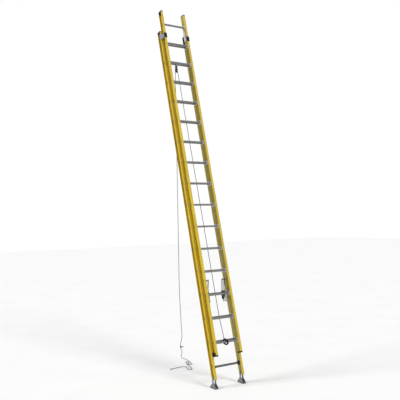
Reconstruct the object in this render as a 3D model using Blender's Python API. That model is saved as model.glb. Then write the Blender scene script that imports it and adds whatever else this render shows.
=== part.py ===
"""Two-section fibreglass extension ladder, leaning at its working angle with the fly one rung up.

Metres, +Z up. The origin is on the floor, midway between the side rails. The rails' pieces are
drawn in the ladder's own frame, X along the rungs, N out of its back and S up its rails, and an
empty leans that frame. Right means +X; each left piece is the right one's mirror image.
"""

import math

import bmesh
import bpy
import numpy as np
from mathutils import Matrix, Vector

LEAN = math.radians(14.5)
GAP = 0.0003

RUNG_PITCH = 0.3048
RUNGS = 16
LOWEST_RUNG = 0.262

RAIL_LENGTH = 4.91
RAIL_DEPTH = 0.075
RAIL_FLANGE = 0.032
RAIL_WALL = 0.0045
BASE_RAIL_FOOT = 0.108
FLY_RAIL_FOOT = 0.402
BASE_CLEAR = 0.392
FLY_CLEAR = 0.344
SECTION_STEP = 0.077
FLY_DROP = SECTION_STEP * math.tan(LEAN)

RUNG_DEPTH = 0.033
RUNG_TOP = 0.011
RUNG_BELLY = 0.015
RUNG_WALL = 0.0025
RUNG_STUB = 0.005
PLATE_DEPTH = 0.044
PLATE_HEIGHT = 0.058
PLATE_THICK = 0.003

GUIDE_LOW = 4.882
GUIDE_HIGH = 4.956
CAP_THICK = 0.012

SHOE_PIVOT = 0.150
SHOE_LENGTH = 0.122
SHOE_WIDTH = 0.046
PAD_THICK = 0.0117
SHOE_PLATE = 0.004
BOLT_RADIUS = 0.0048

LOCK_BASE_RUNG = 4
LOCK_PIVOT = (-0.065, 0.170)
LOCK_REACH = 0.1696
LOCK_NEAR = 0.026
LOCK_SPREAD = 0.038
LOCK_PLATE = 0.004
FINGER_PIVOT = (-0.022, -0.030)

PULLEY_RUNG = 15
PULLEY_X = -0.025
PULLEY_PIN = (-0.016, -0.032)
SHEAVE_DROP = 0.052
SHEAVE_PITCH_RADIUS = 0.030
SHEAVE_RIM_RADIUS = 0.0325
SHEAVE_WIDTH = 0.015
AXLE_RADIUS = 0.004

ROPE = 0.0095
HAUL_BEND = (-0.0525, 0.86)
TIE_X = -0.014
TIE = (-0.064, 0.578)

YELLOW = ("rail_fibreglass", (0.62, 0.42, 0.03), 0.45, 0.0)
ALUMINIUM = ("aluminium", (0.42, 0.42, 0.43), 0.4, 1.0)
CASTING = ("lock_casting", (0.25, 0.26, 0.27), 0.5, 0.9)
STEEL = ("zinc_steel", (0.5, 0.5, 0.5), 0.35, 1.0)
BLACK = ("black_plastic", (0.015, 0.015, 0.015), 0.5, 0.0)
RUBBER = ("rubber", (0.03, 0.03, 0.032), 0.85, 0.0)
ROPE_FIBRE = ("rope_fibre", (0.6, 0.6, 0.58), 0.8, 0.0)


# --- frames -------------------------------------------------------------------------------------


def place(x, n, s):
    """The world point of (x, n, s) in the leaning frame."""
    return Vector(
        (x, s * math.sin(LEAN) + n * math.cos(LEAN), s * math.cos(LEAN) - n * math.sin(LEAN))
    )


def level(points):
    """Outline points (y, z) of the level world, as (n, s) of the leaning frame."""
    c, s = math.cos(LEAN), math.sin(LEAN)
    return [(y * c - z * s, y * s + z * c) for y, z in points]


def leaning(points):
    """Outline points (n, s) of the leaning frame, as (y, z) of the level world."""
    c, s = math.cos(LEAN), math.sin(LEAN)
    return [(n * c + u * s, u * c - n * s) for n, u in points]


def base_rung_height(number):
    return LOWEST_RUNG + (number - 1) * RUNG_PITCH


def fly_rung_height(number):
    return base_rung_height(number + 1) - FLY_DROP


# --- shapes -------------------------------------------------------------------------------------


def mesh_of(bm):
    bmesh.ops.recalc_face_normals(bm, faces=bm.faces)
    mesh = bpy.data.meshes.new("shape")
    bm.to_mesh(mesh)
    bm.free()
    return mesh


def loft(rings, ring_shaped=False):
    """A skin over rings of equally many points: capped at both ends, or joined end to end."""
    bm = bmesh.new()
    loops = [[bm.verts.new(point) for point in ring] for ring in rings]
    pairs = list(zip(loops, loops[1:]))
    if ring_shaped:
        pairs.append((loops[-1], loops[0]))
    for one, other in pairs:
        for i in range(len(one)):
            j = (i + 1) % len(one)
            bm.faces.new((one[i], one[j], other[j], other[i]))
    if not ring_shaped:
        bm.faces.new(loops[0])
        bm.faces.new(loops[-1])
    return mesh_of(bm)


def along_x(outline, low, high):
    """A prism along X over an outline of (y, z) points."""
    return loft([[(x, y, z) for y, z in outline] for x in (low, high)])


def along_z(outline, low, high):
    """A prism along Z over an outline of (x, y) points."""
    return loft([[(x, y, z) for x, y in outline] for z in (low, high)])


def box(x, y, z):
    return along_z([(x[0], y[0]), (x[1], y[0]), (x[1], y[1]), (x[0], y[1])], *z)


def circle(radius, sides=12, centre=(0.0, 0.0)):
    turns = [2 * math.pi * (i + 0.5) / sides for i in range(sides)]
    return [(centre[0] + radius * math.cos(t), centre[1] + radius * math.sin(t)) for t in turns]


def turned(profile, sides=16, ring_shaped=False):
    """A solid turned about the X axis from (x, radius) points."""
    rings = [[(x, y, z) for y, z in circle(radius, sides)] for x, radius in profile]
    return loft(rings, ring_shaped)


def bent_strip(points, thickness):
    """The outline of a strip of even thickness whose middle follows the points."""
    path = [Vector(p) for p in points]
    sides = []
    for i, point in enumerate(path):
        before = (point - path[i - 1]).normalized() if i else None
        after = (path[i + 1] - point).normalized() if i + 1 < len(path) else None
        ways = [way for way in (before, after) if way is not None]
        normals = [Vector((-way.y, way.x)) for way in ways]
        middle = sum(normals, Vector((0, 0))).normalized()
        sides.append((point, middle * (thickness / 2 / middle.dot(normals[0]))))
    return [tuple(p + w) for p, w in sides] + [tuple(p - w) for p, w in reversed(sides)]


def moved(mesh, x=0.0, y=0.0, z=0.0):
    mesh.transform(Matrix.Translation((x, y, z)))
    return mesh


def mirrored(mesh):
    """The mesh on the other side of the ladder's middle."""
    copy = mesh.copy()
    copy.transform(Matrix.Scale(-1, 4, (1, 0, 0)))
    copy.flip_normals()
    return copy


def boolean(mesh, tools, operation):
    """The mesh with each tool joined to it or cut from it."""
    scene = bpy.context.scene.collection
    host = bpy.data.objects.new("host", mesh)
    scene.objects.link(host)
    helpers = []
    for tool in tools:
        helper = bpy.data.objects.new("tool", tool)
        helper.hide_render = True
        helper.display_type = "WIRE"
        scene.objects.link(helper)
        modifier = host.modifiers.new("cut", "BOOLEAN")
        modifier.operation = operation
        modifier.solver = "EXACT"
        modifier.object = helper
        helpers.append(helper)
    bpy.context.view_layer.update()
    graph = bpy.context.evaluated_depsgraph_get()
    result = bpy.data.meshes.new_from_object(host.evaluated_get(graph))
    for helper in [host, *helpers]:
        bpy.data.objects.remove(helper, do_unlink=True)
    return result


def joined(meshes):
    return boolean(meshes[0], meshes[1:], "UNION")


def cut(mesh, tools):
    return boolean(mesh, tools, "DIFFERENCE")


# --- objects ------------------------------------------------------------------------------------


def material(name, colour, roughness, metallic):
    found = bpy.data.materials.get(name)
    if found:
        return found
    made = bpy.data.materials.new(name)
    made.use_nodes = True
    shader = made.node_tree.nodes["Principled BSDF"]
    shader.inputs["Base Color"].default_value = (*colour, 1.0)
    shader.inputs["Roughness"].default_value = roughness
    shader.inputs["Metallic"].default_value = metallic
    return made


def empty(name, location, lean=False):
    made = bpy.data.objects.new(name, None)
    made.location = location
    if lean:
        made.rotation_euler = (-LEAN, 0, 0)
    bpy.context.scene.collection.objects.link(made)
    return made


def node(name, data, finish, parent=None, location=(0, 0, 0)):
    """One sub-part; its location is in its parent's frame."""
    made = bpy.data.objects.new(name, data)
    data.materials.clear()
    data.materials.append(material(*finish))
    bpy.context.scene.collection.objects.link(made)
    made.parent = parent
    made.location = location
    return made


def pair(name, right_mesh, finish, right_parent=None, left_parent=None, location=(0, 0, 0)):
    """The right piece and its mirror image."""
    x, y, z = location
    left_mesh = mirrored(right_mesh)
    node(name + "_right", right_mesh, finish, right_parent, location)
    node(name + "_left", left_mesh, finish, left_parent or right_parent, (-x, y, z))


# --- rails and rungs ----------------------------------------------------------------------------


def rung_outline(grow=0.0):
    """A D lying level: a flat tread above a half ellipse, as (y, z) about the rung's middle."""
    half, belly = RUNG_DEPTH / 2 + grow, RUNG_BELLY + grow
    shoulder = RUNG_TOP - 0.009
    bottom = [math.radians(-36 * i) for i in range(6)]
    curve = [(half * math.cos(t), shoulder + belly * math.sin(t)) for t in bottom]
    return [*curve, (-half, RUNG_TOP + grow), (half, RUNG_TOP + grow)]


def plate_outline():
    """The rung plate's eight-cornered outline, set square to the rail, as (y, z)."""
    n, s, cut_corner = PLATE_DEPTH / 2, PLATE_HEIGHT / 2, 0.008
    corners = [(n, -s + cut_corner), (n - cut_corner, -s), (-n + cut_corner, -s), (-n, -s + cut_corner)]
    corners += [(-n, 0.0), (-n, s), (n, s), (n, 0.0)]
    corners = corners[-1:] + corners[:-1]
    return leaning(corners)


def rung_mesh(clear):
    """A hollow D tube with a plate against the inside of each rail."""
    web = clear / 2
    end = web + RAIL_WALL + RUNG_STUB
    tube, plate, bore = rung_outline(), plate_outline(), rung_outline(-RUNG_WALL)
    steps = [(end, tube), (web - GAP, tube), (web - GAP, plate)]
    steps += [(web - GAP - PLATE_THICK, plate), (web - GAP - PLATE_THICK, tube)]
    outside = steps + [(-x, outline) for x, outline in reversed(steps)]
    inside = [(-end, bore), (end, bore)]
    rings = [[(x, y, z) for y, z in outline] for x, outline in outside + inside]
    return loft(rings, ring_shaped=True)


def rail_mesh(clear, middle, foot, rung_heights, pin_holes):
    """The right rail: a channel that opens outward, its web pierced for the rungs and pins."""
    near, web, far = clear / 2, clear / 2 + RAIL_WALL, clear / 2 + RAIL_FLANGE
    front, back = middle - RAIL_DEPTH / 2, middle + RAIL_DEPTH / 2
    channel = [(near, front), (far, front), (far, front + RAIL_WALL), (web, front + RAIL_WALL)]
    channel += [(web, back - RAIL_WALL), (far, back - RAIL_WALL), (far, back), (near, back)]
    rail = along_z(channel, foot, foot + RAIL_LENGTH)
    hole = level(rung_outline(GAP))
    low, high = near - 0.01, web + 0.005
    cutters = []
    for height in rung_heights:
        cutters.append(moved(along_x(hole, low, high), y=middle, z=height))
    for radius, n, s in pin_holes:
        cutters.append(moved(along_x(circle(radius), low, high), y=n, z=s))
    return cut(rail, cutters)


def make_section(name, clear, middle, foot, height_of, pin_holes, frame):
    heights = [height_of(number) for number in range(1, RUNGS + 1)]
    pair(name + "_rail", rail_mesh(clear, middle, foot, heights, pin_holes), YELLOW, frame)
    for number, height in enumerate(heights, 1):
        middle_point = place(0, middle, height)
        node(f"{name}_rung_{number:02d}", rung_mesh(clear), ALUMINIUM, None, middle_point)


# --- the base's top guides ----------------------------------------------------------------------


def make_top_guides(frame):
    """Brackets that reach forward from the base, and mouldings round the fly's front flange."""
    outer = BASE_CLEAR / 2 + RAIL_FLANGE
    fly_outer = FLY_CLEAR / 2 + RAIL_FLANGE
    fly_front = -SECTION_STEP - RAIL_DEPTH / 2
    leg = (fly_outer + 0.0006, fly_outer + 0.0056)
    plate = 0.003
    over_base, over_fly = outer + GAP + plate / 2, leg[1] + GAP + plate / 2
    path = [(over_base, -0.012), (over_base, -0.042), (over_fly, -0.064), (over_fly, -0.113)]
    band = along_z(bent_strip(path, plate), GUIDE_LOW - 0.02, GUIDE_HIGH + 0.04)
    side = [(-0.012, GUIDE_LOW + 0.026), (-0.012, GUIDE_HIGH + 0.012), (-0.018, GUIDE_HIGH + 0.018)]
    side += [(-0.050, GUIDE_HIGH + 0.018), (-0.064, GUIDE_HIGH), (-0.113, GUIDE_HIGH)]
    side += [(-0.113, GUIDE_LOW), (-0.064, GUIDE_LOW)]
    strip = boolean(band, [along_x(side, leg[0], outer + 0.02)], "INTERSECT")
    # A foot inside the base's channel carries the strip and is riveted to the web.
    channel = BASE_CLEAR / 2 + RAIL_WALL + GAP
    foot = box((channel, over_base), (-0.0327, -0.012), (GUIDE_LOW + 0.030, GUIDE_HIGH + 0.010))
    bracket = joined([strip, foot])
    pair("top_guide", bracket, ALUMINIUM, frame)

    web = FLY_CLEAR / 2
    front = (fly_front - 0.005, fly_front - GAP)
    lip = (web - 0.0053, web - GAP)
    shapes = [
        box(leg, (front[0], -0.062), (GUIDE_LOW, GUIDE_HIGH)),
        box((lip[0], leg[1]), front, (GUIDE_LOW, GUIDE_HIGH)),
        box(lip, (front[0], fly_front + 0.009), (GUIDE_LOW, GUIDE_HIGH)),
    ]
    pair("guide_pad", joined(shapes), BLACK, frame)


# --- the fly's end mouldings --------------------------------------------------------------------


def make_fly_ends(frame):
    near, far = FLY_CLEAR / 2, FLY_CLEAR / 2 + RAIL_FLANGE
    front, back = -SECTION_STEP - RAIL_DEPTH / 2, -SECTION_STEP + RAIL_DEPTH / 2
    top = FLY_RAIL_FOOT + RAIL_LENGTH + GAP
    recess = ((near + 0.006, far - 0.001), (front + 0.006, back - 0.006))
    cap = [
        box((near - 0.0005, far + 0.0005), (front - 0.0005, back + 0.0005), (top, top + CAP_THICK)),
        box(*recess, (top - 0.030, top + 0.004)),
    ]
    pair("fly_cap", joined(cap), BLACK, frame)

    low, high = FLY_RAIL_FOOT - 0.018, FLY_RAIL_FOOT - GAP
    strip = (far + GAP, far + 0.004)
    foot = [
        box((near, far), (front, back), (low, high)),
        box((far - 0.004, strip[1]), (back - 0.026, back - 0.001), (low, high)),
        box(strip, (back - 0.026, back - 0.001), (low, FLY_RAIL_FOOT + 0.036)),
        box(*recess, (low + 0.004, FLY_RAIL_FOOT + 0.030)),
    ]
    pair("fly_foot", joined(foot), BLACK, frame)


# --- shoes --------------------------------------------------------------------------------------


def shoe_side_outline(drop):
    """A shoe's side plate about its pivot: an eye, a narrow strap and a broad foot, as (y, z)."""
    foot, strap, eye = SHOE_LENGTH / 2 - 0.005, 0.016, 0.0135
    bottom = PAD_THICK + GAP - drop
    ankle, toe = 0.062 - drop, 0.026 - drop
    right = [(foot, bottom), (foot, toe), (strap, ankle), (eye, 0.0)]
    arc = [math.radians(30 * i) for i in range(1, 6)]
    top = [(eye * math.cos(t), eye * math.sin(t)) for t in arc]
    return right + top + [(-y, z) for y, z in reversed(right)]


def make_shoes():
    pivot = place(0, 0, SHOE_PIVOT)
    drop = pivot.z
    middle = BASE_CLEAR / 2 + RAIL_FLANGE / 2
    inner = -RAIL_FLANGE / 2 - 0.0013 - SHOE_PLATE
    outer = RAIL_FLANGE / 2 + 0.0013
    side = shoe_side_outline(drop)
    floor_plate = PAD_THICK + GAP - drop
    half_length = SHOE_LENGTH / 2
    deck = ((-half_length + 0.004, half_length - 0.004), (floor_plate, floor_plate + SHOE_PLATE))
    plates = [
        box((inner, outer + SHOE_PLATE), *deck),
        along_x(side, inner, inner + SHOE_PLATE),
        along_x(side, outer, outer + SHOE_PLATE),
    ]
    bore = along_x(circle(BOLT_RADIUS + 0.0004), inner - 0.01, outer + 0.02)
    shoe = cut(joined(plates), [bore])
    pad = box((-SHOE_WIDTH / 2, SHOE_WIDTH / 2), (-half_length, half_length), (-drop, PAD_THICK - drop))
    nut, head = inner - GAP, outer + SHOE_PLATE + GAP
    shank = [(nut - 0.004, BOLT_RADIUS), (head + 0.001, BOLT_RADIUS)]
    bolt = [
        turned([(nut - 0.0045, 0.008), (nut, 0.008)], 6),
        turned(shank, 12),
        turned([(head, 0.008), (head + 0.005, 0.008)], 6),
    ]
    pivots = [
        empty("shoe_pivot_right", (middle, pivot.y, pivot.z)),
        empty("shoe_pivot_left", (-middle, pivot.y, pivot.z)),
    ]
    pair("shoe", shoe, ALUMINIUM, *pivots)
    pair("shoe_pad", pad, RUBBER, *pivots)
    pair("shoe_bolt", joined(bolt), STEEL, location=(middle, pivot.y, pivot.z))


# --- rung locks ---------------------------------------------------------------------------------


def on_seat(n):
    """The seat's underside at n, on an arc about the lock's pivot, so that the lock swings off."""
    return (n, LOCK_PIVOT[1] - math.sqrt(LOCK_REACH**2 - (n - LOCK_PIVOT[0]) ** 2))


def make_locks(frame):
    """Each lock hangs on a pin through the fly's web and seats its jaw on a base rung."""
    seat = [on_seat(0.003), on_seat(-0.009), on_seat(-0.0215)]
    head = [(-0.074, 0.176), (-0.070, 0.183), (-0.060, 0.183), (-0.055, 0.177)]
    hook = [(-0.0215, -0.095), (-0.012, -0.107), (-0.009, -0.117), (-0.022, -0.117), (-0.031, -0.102)]
    outline = head + [(0.003, 0.024)] + seat + hook + [(-0.031, 0.0), (-0.038, 0.040), (-0.072, 0.160)]
    window = [(-0.0655, 0.153), (-0.0585, 0.160), (-0.005, 0.0315), (-0.0285, 0.029), (-0.0335, 0.043)]
    web = FLY_CLEAR / 2
    outer_plate = (web - LOCK_NEAR - LOCK_PLATE, web - LOCK_NEAR)
    inner_edge = outer_plate[0] - LOCK_SPREAD + LOCK_PLATE
    inner_plate = (inner_edge, inner_edge + LOCK_PLATE)
    between = (inner_plate[0] + 0.001, outer_plate[1] - 0.001)
    jaw = seat + [(-0.0305, 0.005), (-0.0305, 0.022), (-0.004, 0.027), (0.0025, 0.022)]
    rivet = web + RAIL_WALL + 0.0008
    plates = []
    for low, high in (outer_plate, inner_plate):
        plates.append(cut(along_x(outline, low, high), [along_x(window, low - 0.01, high + 0.01)]))
    body = joined(
        plates
        + [
            along_x(jaw, *between),
            along_x(circle(0.007, 8, LOCK_PIVOT), *between),
            along_x(circle(0.005, 12, LOCK_PIVOT), between[1] - 0.01, rivet + 0.002),
            along_x(circle(0.008, 12, LOCK_PIVOT), rivet, rivet + 0.0035),
            along_x(circle(0.004, 8, (-0.026, -0.104)), *between),
        ]
    )
    finger_bore = circle(0.0034, 12, FINGER_PIVOT)
    body = cut(body, [along_x(finger_bore, inner_plate[0] - 0.01, outer_plate[1] + 0.01)])
    finger_outline = [(-0.030, -0.030), (-0.026, -0.022), (0.012, -0.022), (0.019, -0.030)]
    finger_outline += [(0.018, -0.072), (0.010, -0.086), (-0.004, -0.082), (-0.016, -0.048)]
    finger = joined(
        [
            along_x(finger_outline, inner_plate[1] + 0.0015, outer_plate[0] - 0.0015),
            along_x(circle(0.003, 12, FINGER_PIVOT), inner_plate[0] - 0.0015, outer_plate[1] + 0.0015),
        ]
    )
    datum = base_rung_height(LOCK_BASE_RUNG)
    for name, mesh, finish, (n, s) in (
        ("lock", body, CASTING, LOCK_PIVOT),
        ("lock_finger", finger, BLACK, FINGER_PIVOT),
    ):
        moved(mesh, y=-n, z=-s)
        pivot = empty(name + "_pivot", place(0, n, datum + s), lean=True)
        pair(name, mesh, finish, pivot)


# --- pulley -------------------------------------------------------------------------------------


def strap_mesh():
    """A band round the rung with a tab that carries the block's pin, about the rung's middle."""
    inside, outside = rung_outline(GAP), rung_outline(0.0034)
    edges = ((-0.011, outside), (0.011, outside), (0.011, inside), (-0.011, inside))
    rings = [[(x, y, z) for y, z in outline] for x, outline in edges]
    band = loft(rings, ring_shaped=True)
    y, z = PULLEY_PIN
    tab = box((-0.003, 0.003), (y - 0.009, y + 0.009), (z - 0.009, -0.0125))
    hole = along_x(circle(0.0034, 12, PULLEY_PIN), -0.01, 0.01)
    return cut(joined([band, tab]), [hole])


def block_mesh():
    """Two cheeks joined by the pin they hang on and a keeper under the sheave, about that pin."""
    half, top, bottom = 0.017, 0.010, -SHEAVE_DROP - 0.041
    outline = [(-half + 0.007, bottom), (half - 0.007, bottom), (half, bottom + 0.010), (half, -0.006)]
    outline += [(half - 0.009, top), (-half + 0.009, top), (-half, -0.006), (-half, bottom + 0.010)]
    inside = SHEAVE_WIDTH / 2 + 0.002
    cheeks = [along_x(outline, inside, inside + 0.003), along_x(outline, -inside - 0.003, -inside)]
    pin = along_x(circle(0.003), -inside - 0.002, inside + 0.002)
    keeper = along_x(circle(0.003, 8, (0.0, -SHEAVE_DROP - 0.0365)), -inside - 0.002, inside + 0.002)
    bore = along_x(circle(AXLE_RADIUS + GAP, 12, (0.0, -SHEAVE_DROP)), -0.03, 0.03)
    return cut(joined([cheeks[0], pin, cheeks[1], keeper]), [bore])


def sheave_mesh():
    """A grooved wheel turned about X, with a bore for its axle."""
    half = SHEAVE_WIDTH / 2
    groove = SHEAVE_PITCH_RADIUS - ROPE / 2 - GAP
    rim = SHEAVE_RIM_RADIUS
    profile = [(-half, AXLE_RADIUS + GAP), (-half, rim), (-half + 0.001, rim), (-0.003, groove)]
    profile += [(0.003, groove), (half - 0.001, rim), (half, rim), (half, AXLE_RADIUS + GAP)]
    return turned(profile, 24, ring_shaped=True)


def make_pulley():
    rung = place(0, 0, base_rung_height(PULLEY_RUNG))
    pin = Vector((PULLEY_X, rung.y + PULLEY_PIN[0], rung.z + PULLEY_PIN[1]))
    node("pulley_strap", strap_mesh(), STEEL, None, (PULLEY_X, rung.y, rung.z))
    swing = empty("pulley_pivot", pin)
    node("pulley_block", block_mesh(), STEEL, swing)
    spin = empty("sheave_pivot", (0, 0, -SHEAVE_DROP))
    spin.parent = swing
    node("pulley_sheave", sheave_mesh(), BLACK, spin)
    reach = SHEAVE_WIDTH / 2 + 0.007
    axle = turned([(-reach, AXLE_RADIUS), (reach, AXLE_RADIUS)], 12)
    node("pulley_axle", axle, STEEL, spin)
    return pin - Vector((0, 0, SHEAVE_DROP))


# --- rope ---------------------------------------------------------------------------------------


def smooth(points, steps):
    """A centripetal curve through the points, with the given number of steps on each stretch."""
    p = [np.array(q, float) for q in points]
    p = [2 * p[0] - p[1], *p, 2 * p[-1] - p[-2]]
    out = []
    for i, count in enumerate(steps, 1):
        a, b, c, d = p[i - 1 : i + 3]
        knots = np.cumsum([0.0] + [np.linalg.norm(v - u) ** 0.5 for u, v in ((a, b), (b, c), (c, d))])
        t0, t1, t2, t3 = knots
        for t in np.linspace(t1, t2, count, endpoint=False):
            u = (t1 - t) / (t1 - t0) * a + (t - t0) / (t1 - t0) * b
            v = (t2 - t) / (t2 - t1) * b + (t - t1) / (t2 - t1) * c
            w = (t3 - t) / (t3 - t2) * c + (t - t2) / (t3 - t2) * d
            m = (t2 - t) / (t2 - t0) * u + (t - t0) / (t2 - t0) * v
            n = (t3 - t) / (t3 - t1) * v + (t - t1) / (t3 - t1) * w
            out.append((t2 - t) / (t2 - t1) * m + (t - t1) / (t2 - t1) * n)
    return out + [p[-2]]


def rope_tube(name, points):
    curve = bpy.data.curves.new(name, "CURVE")
    curve.dimensions = "3D"
    curve.bevel_depth = ROPE / 2
    curve.bevel_resolution = 2
    curve.use_fill_caps = True
    spline = curve.splines.new("POLY")
    spline.points.add(len(points) - 1)
    for point, (x, y, z) in zip(spline.points, points):
        point.co = (x, y, z, 1.0)
    return node(name, curve, ROPE_FIBRE)


# The free run's fall, bowed and kinked a little, from below the sheave to where it nears the floor.
FALL = [
    (-0.031, 1.149, 2.950),
    (-0.038, 1.149, 1.700),
    (-0.040, 1.149, 1.150),
    (-0.026, 1.149, 0.680),
    (-0.017, 1.149, 0.440),
    (-0.038, 1.149, 0.352),
    (-0.041, 1.149, 0.285),
    (-0.020, 1.149, 0.228),
    (-0.035, 1.151, 0.175),
    (-0.005, 1.165, 0.136),
    (0.054, 1.195, 0.108),
]

# Where it lies: two narrow loops and a tail to its cut end.
LANDING = [
    (0.125, 1.232, 0.070),
    (0.180, 1.262, 0.032),
    (0.205, 1.272, 0.010),
    (0.198, 1.242, 0.005),
    (0.172, 1.224, 0.005),
    (0.150, 1.246, 0.005),
    (0.172, 1.300, 0.005),
    (0.206, 1.345, 0.005),
    (0.226, 1.386, 0.005),
    (0.208, 1.414, 0.005),
    (0.184, 1.396, 0.005),
    (0.160, 1.325, 0.005),
    (0.118, 1.236, 0.005),
    (0.094, 1.130, 0.005),
    (0.062, 1.030, 0.005),
    (0.033, 0.988, 0.005),
    (0.006, 1.002, 0.005),
    (0.018, 1.075, 0.005),
    (0.040, 1.140, 0.005),
    (0.022, 1.185, 0.005),
    (-0.070, 1.194, 0.005),
    (-0.205, 1.168, 0.005),
]


def make_rope(sheave):
    """The haul run goes up to the sheave, and the free run goes over it and down to the floor."""
    x, y, z = sheave
    radius = SHEAVE_PITCH_RADIUS

    def on_sheave(angle):
        return (x, y + radius * math.cos(angle), z + radius * math.sin(angle))

    top = Vector(on_sheave(math.pi - LEAN))
    straight = place(PULLEY_X, *HAUL_BEND)
    haul = [tuple(top.lerp(straight, i / 14)) for i in range(14)]
    tie = place(TIE_X, *TIE)
    bend = [straight, place(PULLEY_X + 0.004, *HAUL_BEND).lerp(tie, 0.5), tie]
    haul += smooth(bend, [4, 4])
    rope_tube("rope_haul_run", haul[::-1])

    start = math.pi - LEAN - 0.0009 / radius
    over = [on_sheave(start * (1 - i / 14)) for i in range(15)]
    back = [(x, y + radius, z - 0.02), (x - 0.002, y + radius, z - 0.5)]
    run = smooth([*back, *FALL, *LANDING], [2, 3, 3, 2, 2, 2] + [2] * 28)
    rope_tube("rope_free_run", over + run)


# --- assembly -----------------------------------------------------------------------------------


def main():
    for old in list(bpy.data.objects):
        bpy.data.objects.remove(old, do_unlink=True)
    frame = empty("leaning_frame", (0, 0, 0), lean=True)
    lock_pin = (0.0054, LOCK_PIVOT[0], base_rung_height(LOCK_BASE_RUNG) + LOCK_PIVOT[1])
    shoe_pin = (BOLT_RADIUS + 0.0004, 0.0, SHOE_PIVOT)
    make_section("base", BASE_CLEAR, 0.0, BASE_RAIL_FOOT, base_rung_height, [shoe_pin], frame)
    make_section("fly", FLY_CLEAR, -SECTION_STEP, FLY_RAIL_FOOT, fly_rung_height, [lock_pin], frame)
    make_top_guides(frame)
    make_fly_ends(frame)
    make_shoes()
    make_locks(frame)
    make_rope(make_pulley())


main()
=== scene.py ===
"""The looks of the extension ladder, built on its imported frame.

Metres, in the CAD's row frame: X along the rungs, Y towards the wall, Z up. Most pieces are drawn
in the leaning frame, X along the rungs, N out of the ladder's back and S up its rails.
"""

import math

import bmesh
import bpy
import numpy as np
from mathutils import Matrix, Vector


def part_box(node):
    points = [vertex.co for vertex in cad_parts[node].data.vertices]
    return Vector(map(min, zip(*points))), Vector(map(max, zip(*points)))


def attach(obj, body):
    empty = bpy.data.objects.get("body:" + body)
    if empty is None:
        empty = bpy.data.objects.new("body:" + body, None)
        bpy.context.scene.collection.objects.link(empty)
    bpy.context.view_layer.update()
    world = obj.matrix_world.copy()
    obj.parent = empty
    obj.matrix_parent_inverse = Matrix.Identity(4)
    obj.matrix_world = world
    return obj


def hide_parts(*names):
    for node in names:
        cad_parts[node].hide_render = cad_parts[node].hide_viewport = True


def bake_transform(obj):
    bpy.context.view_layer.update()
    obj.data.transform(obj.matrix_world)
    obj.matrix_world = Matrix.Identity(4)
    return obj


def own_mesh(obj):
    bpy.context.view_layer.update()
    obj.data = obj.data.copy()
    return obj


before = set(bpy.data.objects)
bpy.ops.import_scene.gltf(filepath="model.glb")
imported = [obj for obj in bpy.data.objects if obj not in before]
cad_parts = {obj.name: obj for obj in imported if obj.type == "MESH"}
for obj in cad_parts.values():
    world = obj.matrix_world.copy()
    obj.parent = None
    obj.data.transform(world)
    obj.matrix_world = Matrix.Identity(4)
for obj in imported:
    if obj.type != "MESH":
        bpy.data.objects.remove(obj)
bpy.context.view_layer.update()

LEAN = math.radians(14.5)
UPRIGHT = Matrix.Rotation(-LEAN, 4, "X")
GAP = 0.0003

RUNG_PITCH = 0.3048
RUNGS = 16
LOWEST_RUNG = 0.262
RAIL_LENGTH = 4.91
RAIL_DEPTH = 0.075
RAIL_FLANGE = 0.032
RAIL_WALL = 0.0045
BASE_RAIL_FOOT = 0.108
FLY_RAIL_FOOT = 0.402
BASE_CLEAR = 0.392
FLY_CLEAR = 0.344
SECTION_STEP = 0.077
FLY_DROP = SECTION_STEP * math.tan(LEAN)

RUNG_DEPTH = 0.033
RUNG_TOP = 0.011
RUNG_BELLY = 0.015
PLATE_DEPTH = 0.044
PLATE_HEIGHT = 0.058
PLATE_THICK = 0.003

BRACKET_THICK = 0.003
PAD_LIP = 0.0056

LOCK_RUNG = 4
LOCK_PIVOT = (-0.065, 0.170)
LOCK_ROD = (-0.026, -0.104)
FINGER_PIVOT = (-0.022, -0.030)
LOCK_INSET = 0.026
LOCK_SPREAD = 0.038

ROPE = 0.0095
ROPE_STRANDS = (3, 0.16, 24.0)
ROPE_STEP = 0.0036
PULLEY_X = -0.025
SHEAVE_DROP = 0.052
SHEAVE_PITCH_RADIUS = 0.030

BASE, FLY = "base_section", "fly_section"
SIDES = (("left", -1), ("right", 1))


# --- frames -------------------------------------------------------------------------------------


def place(x, n, s):
    return Vector(
        (x, s * math.sin(LEAN) + n * math.cos(LEAN), s * math.cos(LEAN) - n * math.sin(LEAN))
    )


def base_rung_height(number):
    return LOWEST_RUNG + (number - 1) * RUNG_PITCH


def fly_rung_height(number):
    return base_rung_height(number + 1) - FLY_DROP


# --- camera -------------------------------------------------------------------------------------


def make_camera():
    """A camera at eye height, ahead of the ladder and to its left, rolled a little."""
    azimuth, heading, pitch, roll = (math.radians(a) for a in (34.888, 32.393, 2.036, -1.406))
    distance, height = 7.376, 2.105
    forward = Vector(
        (
            math.sin(heading) * math.cos(pitch),
            math.cos(heading) * math.cos(pitch),
            math.sin(pitch),
        )
    )
    right = Vector((math.cos(heading), -math.sin(heading), 0))
    up = right.cross(forward)
    side = math.cos(roll) * right + math.sin(roll) * up
    top = math.cos(roll) * up - math.sin(roll) * right
    data = bpy.data.cameras.new("camera")
    data.sensor_width = 36.0
    data.lens = 51.81
    data.clip_start, data.clip_end = 0.05, 100.0
    camera = bpy.data.objects.new("camera", data)
    where = Vector((-math.sin(azimuth) * distance, -math.cos(azimuth) * distance, height))
    turn = Matrix((side, top, -forward)).transposed().to_4x4()
    camera.matrix_world = Matrix.Translation(where) @ turn
    bpy.context.scene.collection.objects.link(camera)
    bpy.context.scene.camera = camera


# --- mesh helpers -------------------------------------------------------------------------------


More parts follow.
